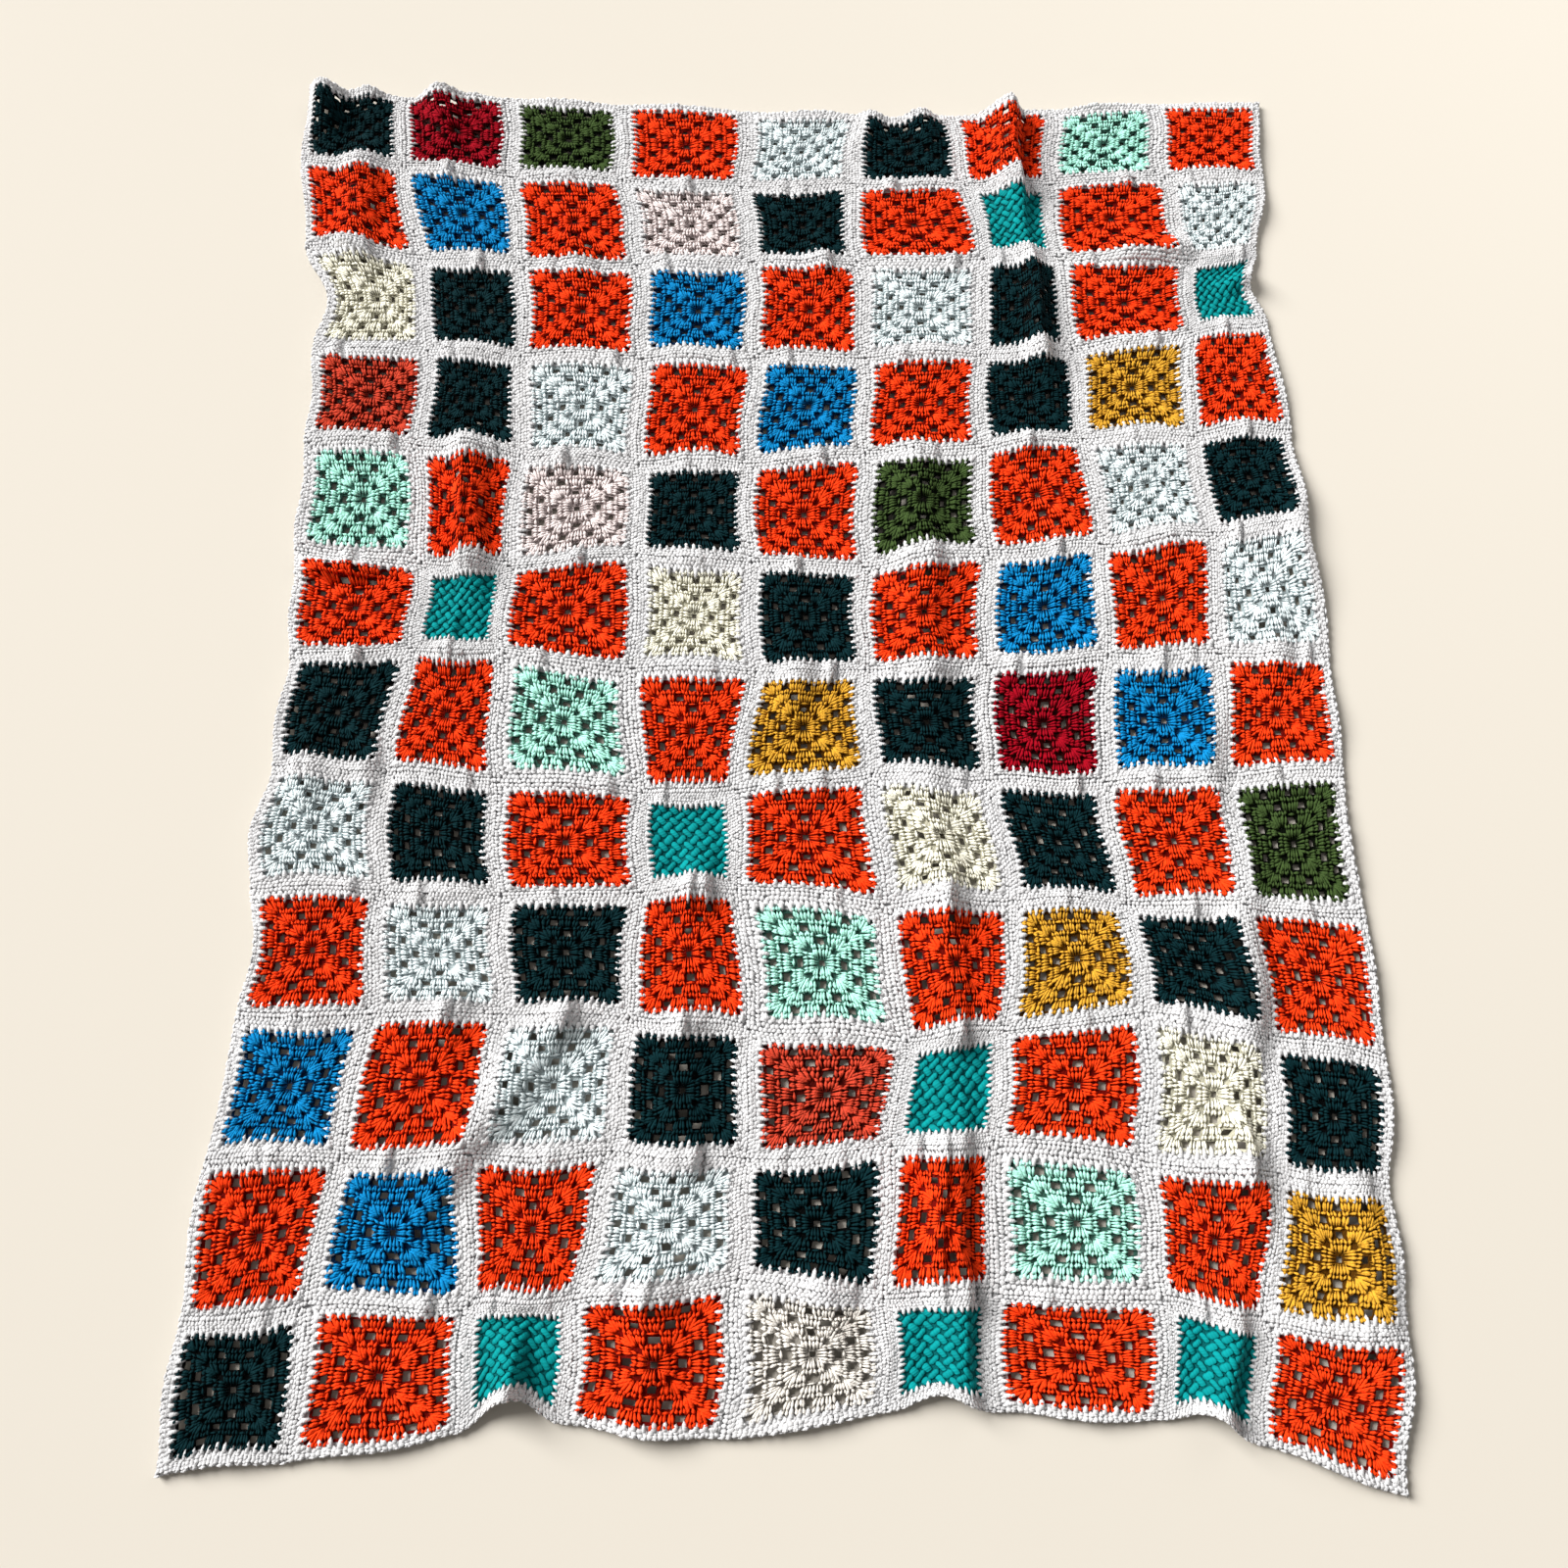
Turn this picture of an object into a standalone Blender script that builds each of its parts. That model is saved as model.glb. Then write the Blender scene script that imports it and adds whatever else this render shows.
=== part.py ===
"""Crochet throw of 108 granny squares, laid out on a floor in the folds it was dropped in.

The squares are crocheted one by one, nine to a row, and each row of joined squares is one
solid. A place on the throw is first a column (0 at the left edge to 9) and a row (0 at the far
edge to 12), both counted in squares. place() lays that on the floor, height() lifts it over the
folds, and thickness() gives the yarn's body there. The underside is flat where no fold passes.
"""

from collections import namedtuple
import math

import bpy
from mathutils import Vector
from mathutils.geometry import delaunay_2d_cdt
import numpy as np

MM = 0.001

# Driving dimensions in metres
PITCH = 133 * MM
JOIN_GAP = 0.3 * MM
SEAM_THICK = 4 * MM
BAND_THICK = 6 * MM
PATCH_THICK = 4.5 * MM

# The laid throw's middle, from the middle of an even layout
MIDDLE_X = -19.72 * MM
MIDDLE_Y = -21.25 * MM

COLUMNS = 9
ROWS = 12

# Each yarn: its colour as seen, how far its squares draw their corners in, and the half width
# of the coloured patch as a share of the square
Yarn = namedtuple("Yarn", "name colour draw_in patch openwork")
YARNS = {
    "G": Yarn("bottle", (0.03, 0.16, 0.17), 4.5 * MM, 0.40, True),
    "C": Yarn("cherry", (0.52, 0.03, 0.10), 0, 0.40, True),
    "L": Yarn("olive", (0.20, 0.27, 0.13), 0, 0.40, True),
    "O": Yarn("orange", (0.86, 0.24, 0.08), 0, 0.40, True),
    "F": Yarn("frost", (0.85, 0.90, 0.90), 0, 0.39, True),
    "M": Yarn("mint", (0.53, 0.80, 0.71), -4 * MM, 0.375, True),
    "B": Yarn("blue", (0.03, 0.42, 0.66), 0, 0.40, True),
    "P": Yarn("pink", (0.82, 0.75, 0.75), 0, 0.39, True),
    "T": Yarn("teal", (0.03, 0.55, 0.57), 17 * MM, 0.375, False),
    "Y": Yarn("cream", (0.94, 0.91, 0.78), 0, 0.39, True),
    "R": Yarn("rust", (0.66, 0.20, 0.12), 0, 0.395, True),
    "U": Yarn("mustard", (0.68, 0.49, 0.15), 3 * MM, 0.40, True),
    "S": Yarn("oatmeal", (0.84, 0.79, 0.72), 0, 0.40, True),
}
BORDER_COLOUR = (0.88, 0.88, 0.90)
YARN_ROUGHNESS = 0.85

# The squares by yarn, the far row first, each row from left to right
CHART = (
    "GCLOFGOMO",
    "OBOPGOTOF",
    "YGOBOFGOT",
    "RGFOBOGUO",
    "MOPGOLOFG",
    "OTOYGOBOF",
    "GOMOUGCBO",
    "FGOTOYGOL",
    "OFGOMOUGO",
    "BOFGRTOYG",
    "OBOFGOMOU",
    "GOTOSTOTO",
)

# How far each seam between rows lies from its place in an even layout, in millimetres, at five
# stations a quarter of the width apart, left to right: first to the right, then to the far side
STATION_STEP = COLUMNS / 4
Lay = namedtuple("Lay", "left quarter centre three_quarter right")
LAY_RIGHT = (
    Lay(-41, -42, 4, -8, -5),
    Lay(-41, -34, -8, -2, -10),
    Lay(-18, -10, 3, 5, -15),
    Lay(6, 1, 8, 2, -13),
    Lay(12, 0, 4, 3, -12),
    Lay(14, 6, 3, 12, -8),
    Lay(15, 6, 1, 7, -5),
    Lay(10, 0, 3, -1, -9),
    Lay(8, 6, 14, 12, -6),
    Lay(11, 12, 14, 18, 3),
    Lay(-5, -5, 4, 6, -8),
    Lay(-16, -14, -6, -4, -13),
    Lay(-21, -18, -10, -9, -38),
)
LAY_FAR = (
    Lay(0, -15, -31, -25, -8),
    Lay(16, -3, -14, 6, 6),
    Lay(24, 0, -1, 2, 42),
    Lay(12, 0, 0, 11, 38),
    Lay(17, -6, -4, 15, 44),
    Lay(7, 2, -9, 14, 42),
    Lay(12, -5, -8, 7, 16),
    Lay(8, 2, -2, -2, 8),
    Lay(11, -2, -8, -2, -15),
    Lay(9, 8, 1, 6, -32),
    Lay(0, 2, -2, -3, -33),
    Lay(-15, 15, 14, 20, -38),
    Lay(-21, 4, 14, 14, -38),
)

# How far the middle of one square's outer side lies beyond the line between its corners, in
# millimetres, or short of it where the number is negative. Squares count from the far left corner.
Bow = namedtuple("Bow", "side square beyond")
BOWS = (
    Bow("far", 1, 4),
    Bow("far", 5, -8),
    Bow("far", 6, -8),
    Bow("near", 1, 8),
    Bow("near", 2, -26),
    Bow("near", 3, 9),
    Bow("near", 5, -16),
    Bow("near", 6, 8),
    Bow("near", 7, -14),
    Bow("left", 2, -19),
    Bow("left", 7, 9),
    Bow("left", 8, -8),
    Bow("right", 1, 5),
    Bow("right", 2, -14),
    Bow("right", 3, 3),
)

# Each fold: a soft ridge between two places, counted in squares, with its half width and height
# in millimetres. It fades to nothing at both ends, so one that runs over an edge ends past it.
# A fold that leans is wider by that share on its left side and steeper on its right.
Fold = namedtuple("Fold", "column row to_column to_row half_width height lean", defaults=(0,))
FOLDS = (
    Fold(6.57, -1.40, 6.58, 2.20, 34, 29, 0.38),
    Fold(6.60, 1.40, 6.67, 3.90, 34, 16),
    Fold(1.45, 3.30, 1.66, 5.80, 34, 18),
    Fold(5.38, 3.00, 5.58, 7.40, 40, 15, 0.20),
    Fold(5.50, 6.20, 5.44, 10.00, 38, 13, 0.20),
    Fold(5.55, 9.00, 5.80, 13.00, 38, 20, 0.30),
    Fold(2.70, 8.60, 1.35, 10.90, 36, 16),
    Fold(1.62, 8.50, 1.60, 9.60, 30, 10),
    Fold(3.42, 8.40, 3.52, 10.60, 34, 11),
    Fold(3.52, 10.20, 3.42, 12.20, 34, 13),
    Fold(4.60, 10.60, 4.60, 11.70, 32, 11),
    Fold(8.10, 7.30, 7.66, 9.80, 36, 18),
    Fold(7.68, 9.40, 7.85, 10.70, 34, 14),
    Fold(7.72, 10.40, 7.50, 13.20, 36, 20, 0.25),
    Fold(8.55, 9.30, 8.90, 11.60, 34, 14),
    Fold(0.30, 6.40, 0.36, 7.60, 26, 8),
    Fold(0.83, 6.50, 0.83, 7.60, 24, 8),
    Fold(0.72, 0.30, 0.36, 2.60, 36, 16),
    Fold(8.50, 5.20, 8.48, 6.50, 30, 10),
    Fold(8.95, 4.40, 8.88, 5.80, 30, 12),
    Fold(7.20, 1.95, 8.30, 1.80, 30, 14),
    Fold(4.67, 1.40, 4.66, 2.60, 30, 9),
    Fold(2.50, 1.30, 2.48, 2.50, 30, 9),
    Fold(7.86, 6.20, 7.82, 7.60, 34, 10),
    Fold(3.60, 7.30, 3.56, 8.70, 32, 10),
    Fold(4.40, 5.30, 4.36, 6.80, 32, 10),
    Fold(2.46, 10.90, 2.44, 12.90, 32, 18, 0.25),
    Fold(5.66, -0.70, 5.68, 0.70, 30, 14),
    Fold(5.12, -0.70, 5.10, 0.70, 30, 12),
    Fold(0.12, -0.90, 0.20, 0.90, 34, 26),
    Fold(0.62, -0.60, 0.66, 0.50, 24, 8),
    Fold(1.30, -0.80, 1.42, 0.90, 34, 18),
    Fold(2.50, 11.40, 2.46, 13.20, 30, 10),
    Fold(8.30, 2.46, 9.60, 2.40, 24, 12),
)
FOLD_FADE = 2.5

# The widest gaps between the stitch clusters of an open square, from its middle, in shares of
# the square: on which side, how far along it and how far out. The set turns from square to square.
Opening = namedtuple("Opening", "side along out")
OPENINGS = (
    Opening(0, -0.098, 0.27),
    Opening(1, 0.0, 0.16),
    Opening(2, -0.098, 0.27),
)
OPENING_ALONG = 0.040
OPENING_OUT = 0.036

# Spacing of the mesh's own points, in squares, and shares of a fold's half width
CREST_STEP = 0.35
FOOT_SHARES = (-0.92, 0.92)
SLOPE_SHARES = (-0.46, 0.46)
TALL_FOLD = 14
LEAST_SPACING = 0.10
LINE_CLEARANCE = 0.05
MERGE_WITHIN = 0.004
ON_SEAM = 1e-4


def four_points(place_in_table, count):
    """Positions and weights of the four table entries round a place, for a smooth curve."""
    first = np.clip(np.floor(place_in_table).astype(int), 0, count - 2)
    f = place_in_table - first
    return (
        (first, (-f + 2 * f**2 - f**3) / 2),
        (first + 1, (2 - 5 * f**2 + 3 * f**3) / 2),
        (first + 2, (f + 4 * f**2 - 3 * f**3) / 2),
        (first + 3, (f**3 - f**2) / 2),
    )


def lay_at(table, column, row):
    """A lay table's value in metres at a place on the throw."""
    values = np.pad(np.array(table, float), 1, mode="reflect", reflect_type="odd")
    total = 0.0
    for i, row_weight in four_points(row, len(table)):
        for k, station_weight in four_points(column / STATION_STEP, len(Lay._fields)):
            total = total + row_weight * station_weight * values[i, k]
    return total * MM


def corner_shifts():
    """How far each corner where squares meet is drawn, right and far, by the squares round it."""
    shifts = np.zeros((ROWS + 1, COLUMNS + 1, 2))
    for row, letters in enumerate(CHART):
        for column, letter in enumerate(letters):
            pull = YARNS[letter].draw_in
            for down in (0, 1):
                for across in (0, 1):
                    toward_middle = (pull * (1 - 2 * across), pull * (2 * down - 1))
                    shifts[row + down, column + across] += toward_middle
    return shifts


CORNER_SHIFTS = corner_shifts()


def draw_in(column, row):
    """The corners' shifts, spread evenly over the squares between them."""
    i = np.clip(np.floor(row).astype(int), 0, ROWS - 1)
    k = np.clip(np.floor(column).astype(int), 0, COLUMNS - 1)
    down = (row - i)[..., None]
    across = (column - k)[..., None]
    far = (1 - across) * CORNER_SHIFTS[i, k] + across * CORNER_SHIFTS[i, k + 1]
    near = (1 - across) * CORNER_SHIFTS[i + 1, k] + across * CORNER_SHIFTS[i + 1, k + 1]
    return (1 - down) * far + down * near


def bowed(column, row):
    """How far the bows of the outer sides shift a place, right and far. A bow fades in one square."""
    right = np.zeros_like(column)
    far = np.zeros_like(column)
    for bow in BOWS:
        along, depth = {
            "far": (column, row),
            "near": (column, ROWS - row),
            "left": (row, column),
            "right": (row, COLUMNS - column),
        }[bow.side]
        share = np.clip(along - bow.square, 0, 1)
        reach = (1 - np.cos(2 * math.pi * share)) / 2 * np.clip(1 - depth, 0, 1)
        if bow.side in ("far", "near"):
            far += reach * bow.beyond * MM * (1 if bow.side == "far" else -1)
        else:
            right += reach * bow.beyond * MM * (1 if bow.side == "right" else -1)
    return right, far


def place(column, row):
    """Where a place on the throw lies on the floor, as x and y."""
    drawn = draw_in(column, row)
    right, far = bowed(column, row)
    x = (column - COLUMNS / 2) * PITCH + lay_at(LAY_RIGHT, column, row) + drawn[..., 0] + right
    y = (ROWS / 2 - row) * PITCH + lay_at(LAY_FAR, column, row) + drawn[..., 1] + far
    return x - MIDDLE_X, y - MIDDLE_Y


def height(column, row):
    """How high the folds lift the underside."""
    total = np.zeros_like(column)
    for fold in FOLDS:
        run_across = fold.to_column - fold.column
        run_down = fold.to_row - fold.row
        length = math.hypot(run_across, run_down)
        from_start = ((column - fold.column) * run_across + (row - fold.row) * run_down) / length**2
        aside = ((column - fold.column) * run_down - (row - fold.row) * run_across) / length
        half_width = fold.half_width * MM * (1 - fold.lean * np.sign(aside))
        share = np.clip(np.abs(aside) * PITCH / half_width, 0, 1)
        fade = np.clip(FOLD_FADE * np.minimum(from_start, 1 - from_start), 0, 1)
        crown = (1 + np.cos(math.pi * share)) / 2
        total += fold.height * MM * crown * fade**2 * (3 - 2 * fade)
    return total


def patch_of(column, row):
    """The patch half width of the square at each place."""
    return np.array([YARNS[CHART[int(r)][int(c)]].patch for c, r in zip(column, row)])


def thickness(column, row, strip):
    """The yarn's body: thin along the seams, full in the white band, flatter in the patch."""
    in_column = np.clip(np.floor(column), 0, COLUMNS - 1)
    out = np.maximum(np.abs(column - in_column - 0.5), np.abs(row - strip - 0.5))
    patch = patch_of(in_column, np.full_like(column, strip))
    band_share = np.clip((out - 0.3) / (patch - 0.3), 0, 1)
    seam_share = np.clip((out - patch) / (0.5 - patch), 0, 1)
    body = PATCH_THICK + (BAND_THICK - PATCH_THICK) * band_share
    return body + (SEAM_THICK - BAND_THICK) * seam_share


def turned(along, out, side):
    """A place in a square, given from its far side, turned to another side."""
    for _ in range(side % 4):
        along, out = out, -along
    return along, out


def patch_ring(column, strip):
    """Eight places round the coloured patch of a square, in order."""
    half = YARNS[CHART[strip][column]].patch
    corners = ((-1, -1), (0, -1), (1, -1), (1, 0), (1, 1), (0, 1), (-1, 1), (-1, 0))
    return [(column + 0.5 + a * half, strip + 0.5 + b * half) for a, b in corners]


def opening_corners(column, strip):
    """The four places round each gap that is cut through a square."""
    if not YARNS[CHART[strip][column]].openwork:
        return []
    gaps = []
    for opening in OPENINGS:
        side = opening.side + column + strip
        gap = []
        for a, b in ((-1, -1), (1, -1), (1, 1), (-1, 1)):
            along = opening.along + a * OPENING_ALONG
            out = opening.out + b * OPENING_OUT
            across, far = turned(along, out, side)
            gap.append((column + 0.5 + across, strip + 0.5 - far))
        gaps.append(gap)
    return gaps


def add_chain(points, places, edges, closed=False):
    """Adds a run of places joined by edges that the triangles may not cross."""
    first = len(places)
    places += points
    count = len(points)
    edges += [(first + n, first + n + 1) for n in range(count - 1)]
    if closed:
        edges.append((first + count - 1, first))


def seam_lines():
    """The seams between rows and the throw's side edges, with a place every half square."""
    halves = [n / 2 for n in range(2 * COLUMNS + 1)]
    lines = [[(column, float(row)) for column in halves] for row in range(ROWS + 1)]
    for side in (0.0, float(COLUMNS)):
        for row in range(ROWS):
            lines.append([(side, row + share) for share in (0.0, 0.5, 1.0)])
    return lines


def fold_lines():
    """Each fold's crest as a line, and the places beside it on its slopes and at its feet."""
    crests = []
    beside = []
    for fold in FOLDS:
        start = Vector((fold.column, fold.row))
        run = Vector((fold.to_column, fold.to_row)) - start
        aside = Vector((run.y, -run.x)).normalized() * fold.half_width * MM / PITCH
        steps = max(2, round(run.length / CREST_STEP))
        crest = [start + run * step / steps for step in range(1, steps)]
        crests.append([tuple(point) for point in crest])
        shares = FOOT_SHARES if fold.height < TALL_FOLD else FOOT_SHARES + SLOPE_SHARES
        for share in shares:
            reach = share * (1 - math.copysign(fold.lean, share))
            beside += [point + aside * reach for point in crest]
    return crests, beside


def inside(point, margin):
    """Whether a place lies on the throw, at least a margin from its edges."""
    return margin < point[0] < COLUMNS - margin and margin < point[1] < ROWS - margin


def clear_of_lines(point):
    """Whether a place keeps off the seams, the patch edge and the gaps of its square."""
    column, strip = int(point.x), int(point.y)
    across, down = point.x - column - 0.5, point.y - strip - 0.5
    half = YARNS[CHART[strip][column]].patch
    if abs(max(abs(across), abs(down)) - half) < LINE_CLEARANCE:
        return False
    if 0.5 - abs(down) < LINE_CLEARANCE:
        return False
    for gap in opening_corners(column, strip):
        middle = np.mean(gap, axis=0)
        if math.hypot(point.x - middle[0], point.y - middle[1]) < 2 * OPENING_ALONG:
            return False
    return True


def flat_layout():
    """Places and triangles of the whole throw in its flat layout, with the gaps left open."""
    places = []
    edges = []
    gaps = []
    for line in seam_lines():
        add_chain(line, places, edges)
    for strip in range(ROWS):
        for column in range(COLUMNS):
            add_chain(patch_ring(column, strip), places, edges, closed=True)
            for gap in opening_corners(column, strip):
                add_chain(gap, places, edges, closed=True)
                gaps.append(gap)
    crests, beside = fold_lines()
    for crest in crests:
        add_chain(crest, places, edges)
    for point in beside:
        if not inside(point, LINE_CLEARANCE) or not clear_of_lines(point):
            continue
        if min(math.hypot(point.x - x, point.y - y) for x, y in places) >= LEAST_SPACING:
            places.append((point.x, point.y))
    flat = [Vector((x, -y)) for x, y in places]
    corners, _, faces, _, _, _ = delaunay_2d_cdt(flat, edges, [], 0, MERGE_WITHIN)
    corners = np.array([(v.x, -v.y) for v in corners])
    low = np.array(gaps).min(axis=1)
    high = np.array(gaps).max(axis=1)
    kept = []
    for face in faces:
        middle = corners[list(face)].mean(axis=0)
        in_gap = ((middle > low) & (middle < high)).all(axis=1).any()
        if inside(middle, 0) and not in_gap:
            kept.append(tuple(face))
    return corners, kept


def outer_edges(faces):
    """The edges that only one triangle uses, in that triangle's direction."""
    directed = {(face[n], face[(n + 1) % 3]) for face in faces for n in range(3)}
    return [(a, b) for a, b in directed if (b, a) not in directed]


def yarn_material(name, colour):
    """Matt wool of one colour, given as seen on a screen."""
    material = bpy.data.materials.new(name)
    material.use_nodes = True
    shader = material.node_tree.nodes["Principled BSDF"]
    linear = [c / 12.92 if c <= 0.04045 else ((c + 0.055) / 1.055) ** 2.4 for c in colour]
    shader.inputs["Base Color"].default_value = (*linear, 1)
    shader.inputs["Roughness"].default_value = YARN_ROUGHNESS
    shader.inputs["Metallic"].default_value = 0
    return material


def paint(mesh, strip, middles, materials):
    """Gives each face inside a patch that square's yarn, and the rest the white of the bands."""
    letters = sorted(set(CHART[strip]))
    mesh.materials.append(materials["border"])
    for letter in letters:
        mesh.materials.append(materials[letter])
    for polygon, (x, y) in zip(mesh.polygons, middles):
        column = min(int(x), COLUMNS - 1)
        letter = CHART[strip][column]
        out = max(abs(x - column - 0.5), abs(y - strip - 0.5))
        if out < YARNS[letter].patch:
            polygon.material_index = 1 + letters.index(letter)


def build_strip(strip, layout, materials):
    """One row of nine joined squares as a closed solid."""
    all_corners, all_faces = layout
    own = [face for face in all_faces if int(all_corners[list(face), 1].mean()) == strip]
    used, numbered = np.unique(np.array(own), return_inverse=True)
    corners = all_corners[used]
    faces = [tuple(face) for face in numbered.reshape(-1, 3)]
    column, row = corners[:, 0], corners[:, 1]
    x, y = place(column, row)
    if strip > 0:
        y = y - np.where(row < strip + ON_SEAM, JOIN_GAP / 2, 0)
    if strip < ROWS - 1:
        y = y + np.where(row > strip + 1 - ON_SEAM, JOIN_GAP / 2, 0)
    under = height(column, row)
    over = under + thickness(column, row, strip)
    count = len(corners)
    points = [*zip(x, y, over), *zip(x, y, under)]
    walls = outer_edges(faces)
    bottoms = [tuple(n + count for n in reversed(face)) for face in faces]
    sides = [(a + count, b + count, b, a) for a, b in walls]
    mesh = bpy.data.meshes.new(f"squares_row_{strip + 1:02d}")
    mesh.from_pydata(points, [], faces + bottoms + sides)
    middles = [corners[list(face)].mean(axis=0) for face in faces]
    wall_middles = [corners[[a, b]].mean(axis=0) for a, b in walls]
    paint(mesh, strip, middles + middles + wall_middles, materials)
    mesh.validate()
    obj = bpy.data.objects.new(mesh.name, mesh)
    bpy.context.scene.collection.objects.link(obj)
    return obj


def main():
    for obj in list(bpy.data.objects):
        bpy.data.objects.remove(obj, do_unlink=True)
    materials = {"border": yarn_material("border_white", BORDER_COLOUR)}
    for letter, yarn in YARNS.items():
        materials[letter] = yarn_material(f"yarn_{yarn.name}", yarn.colour)
    layout = flat_layout()
    for strip in range(ROWS):
        build_strip(strip, layout, materials)


main()
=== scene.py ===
"""Looks of the crochet throw: every stitch of its 108 granny squares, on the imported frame.

A place on the throw is a column (0 at the left edge to 9) and a row (0 at the far edge to 12),
both in squares, as in the part's source. Stitches are first laid out flat in one square, on its
far side, as a distance along that side and a distance out from the middle, both in shares of the
square. They are turned to the four sides, moved to their square and mapped onto the folds.
Each row of squares is a thin sheet with its gaps, and the strands of yarn that lie on it.
"""

from collections import namedtuple
import math

import bpy
from mathutils import Matrix, Vector
from mathutils.geometry import delaunay_2d_cdt
import numpy as np


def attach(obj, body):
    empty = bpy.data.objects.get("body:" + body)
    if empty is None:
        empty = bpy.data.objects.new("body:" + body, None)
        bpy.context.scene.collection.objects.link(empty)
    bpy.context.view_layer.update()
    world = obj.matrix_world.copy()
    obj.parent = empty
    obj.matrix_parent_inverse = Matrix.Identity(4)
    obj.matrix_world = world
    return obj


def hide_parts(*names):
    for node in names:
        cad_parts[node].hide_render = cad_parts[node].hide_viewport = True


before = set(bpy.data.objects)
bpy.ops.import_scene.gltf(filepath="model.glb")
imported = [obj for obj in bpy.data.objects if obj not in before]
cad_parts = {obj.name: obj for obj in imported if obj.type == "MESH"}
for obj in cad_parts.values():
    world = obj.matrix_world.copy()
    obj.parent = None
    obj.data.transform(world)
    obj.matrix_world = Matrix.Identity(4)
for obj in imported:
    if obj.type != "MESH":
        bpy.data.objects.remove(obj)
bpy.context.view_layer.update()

# Sizes as in the part's source: from seam to seam, the gap along the seams between rows, and the
# laid throw's middle, from the middle of an even layout
MM = 0.001
PITCH = 133 * MM
JOIN_GAP = 0.3 * MM
COLUMNS = 9
ROWS = 12
MIDDLE_X = -19.72 * MM
MIDDLE_Y = -21.25 * MM
# A place this near to a seam, in squares, lies on it
ON_SEAM = 1e-4

# The camera as held over the throw: place in metres, turns in degrees, lens for a 36 mm sensor
CAMERA_PLACE = (-0.0208, -0.5166, 1.339)
CAMERA_TILT = 16.64
CAMERA_ROLL = 2.29
CAMERA_YAW = -2.27
CAMERA_LENS = 29.3
CAMERA_SENSOR = 36

# Each yarn: its colour as seen, how bright the painted shade of its hollows and ground is, how far
# its squares draw their corners in, the half width of the coloured patch as a share of the square, and
# whether it has gaps
Yarn = namedtuple("Yarn", "name colour depths draw_in patch openwork")
YARNS = {
    "G": Yarn("bottle", (0.025, 0.16, 0.18), 0.10, 4.5 * MM, 0.404, True),
    "C": Yarn("cherry", (0.62, 0.02, 0.11), 0.12, 0, 0.412, True),
    "L": Yarn("olive", (0.25, 0.33, 0.17), 0.10, 0, 0.40, True),
    "O": Yarn("orange", (0.99, 0.26, 0.07), 0.14, 0, 0.418, True),
    "F": Yarn("frost", (0.94, 0.985, 0.995), 0.48, 0, 0.40, True),
    "M": Yarn("mint", (0.73, 0.98, 0.91), 0.10, -2 * MM, 0.385, True),
    "B": Yarn("blue", (0.05, 0.53, 0.78), 0.12, 0, 0.40, True),
    "P": Yarn("pink", (0.96, 0.91, 0.905), 0.42, 0, 0.40, True),
    "T": Yarn("teal", (0.02, 0.55, 0.56), 0.70, 17 * MM, 0.380, False),
    "Y": Yarn("cream", (0.99, 0.98, 0.91), 0.50, 0, 0.40, True),
    "R": Yarn("rust", (0.82, 0.28, 0.19), 0.12, 0, 0.405, True),
    "U": Yarn("mustard", (0.87, 0.65, 0.21), 0.12, 3 * MM, 0.405, True),
    "S": Yarn("oatmeal", (0.94, 0.92, 0.89), 0.32, 0, 0.40, True),
    "W": Yarn("white", (0.865, 0.865, 0.872), 0.88, 0, 0, False),
}
LETTERS = list(YARNS)

# The squares by yarn, the far row first, each row from left to right
CHART = (
    "GCLOFGOMO",
    "OBOPGOTOF",
    "YGOBOFGOT",
    "RGFOBOGUO",
    "MOPGOLOFG",
    "OTOYGOBOF",
    "GOMOUGCBO",
    "FGOTOYGOL",
    "OFGOMOUGO",
    "BOFGRTOYG",
    "OBOFGOMOU",
    "GOTOSTOTO",
)

# How far the far edge, each seam between rows and the near edge lie from their places in an even
# layout, in millimetres, at five stations a quarter of the width apart, left to right: first to
# the right, then to the far side
STATION_STEP = COLUMNS / 4
Lay = namedtuple("Lay", "left quarter centre three_quarter right")
LAY_RIGHT = (
    Lay(-41, -42, 4, -8, -5),
    Lay(-41, -34, -8, -2, -10),
    Lay(-18, -10, 3, 5, -15),
    Lay(6, 1, 8, 2, -13),
    Lay(12, 0, 4, 3, -12),
    Lay(14, 6, 3, 12, -8),
    Lay(15, 6, 1, 7, -5),
    Lay(10, 0, 3, -1, -9),
    Lay(8, 6, 14, 12, -6),
    Lay(11, 12, 14, 18, 3),
    Lay(-5, -5, 4, 6, -8),
    Lay(-16, -14, -6, -4, -13),
    Lay(-21, -18, -10, -9, -38),
)
LAY_FAR = (
    Lay(0, -15, -31, -25, -8),
    Lay(16, -3, -14, 6, 6),
    Lay(24, 0, -1, 2, 42),
    Lay(12, 0, 0, 11, 38),
    Lay(17, -6, -4, 15, 44),
    Lay(7, 2, -9, 14, 42),
    Lay(12, -5, -8, 7, 16),
    Lay(8, 2, -2, -2, 8),
    Lay(11, -2, -8, -2, -15),
    Lay(9, 8, 1, 6, -32),
    Lay(0, 2, -2, -3, -33),
    Lay(-15, 15, 14, 20, -38),
    Lay(-21, 4, 14, 14, -38),
)

# How far the middle of one square's outer side lies beyond the line between its corners, in
# millimetres, or short of it where the number is negative. Squares count from the far left corner.
Bow = namedtuple("Bow", "side square beyond")
BOWS = (
    Bow("far", 1, 4),
    Bow("far", 5, -8),
    Bow("far", 6, -8),
    Bow("near", 1, 8),
    Bow("near", 2, -26),
    Bow("near", 3, 9),
    Bow("near", 5, -16),
    Bow("near", 6, 8),
    Bow("near", 7, -14),
    Bow("left", 2, -19),
    Bow("left", 7, 9),
    Bow("left", 8, -8),
    Bow("right", 1, 5),
    Bow("right", 2, -14),
    Bow("right", 3, 3),
)

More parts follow.
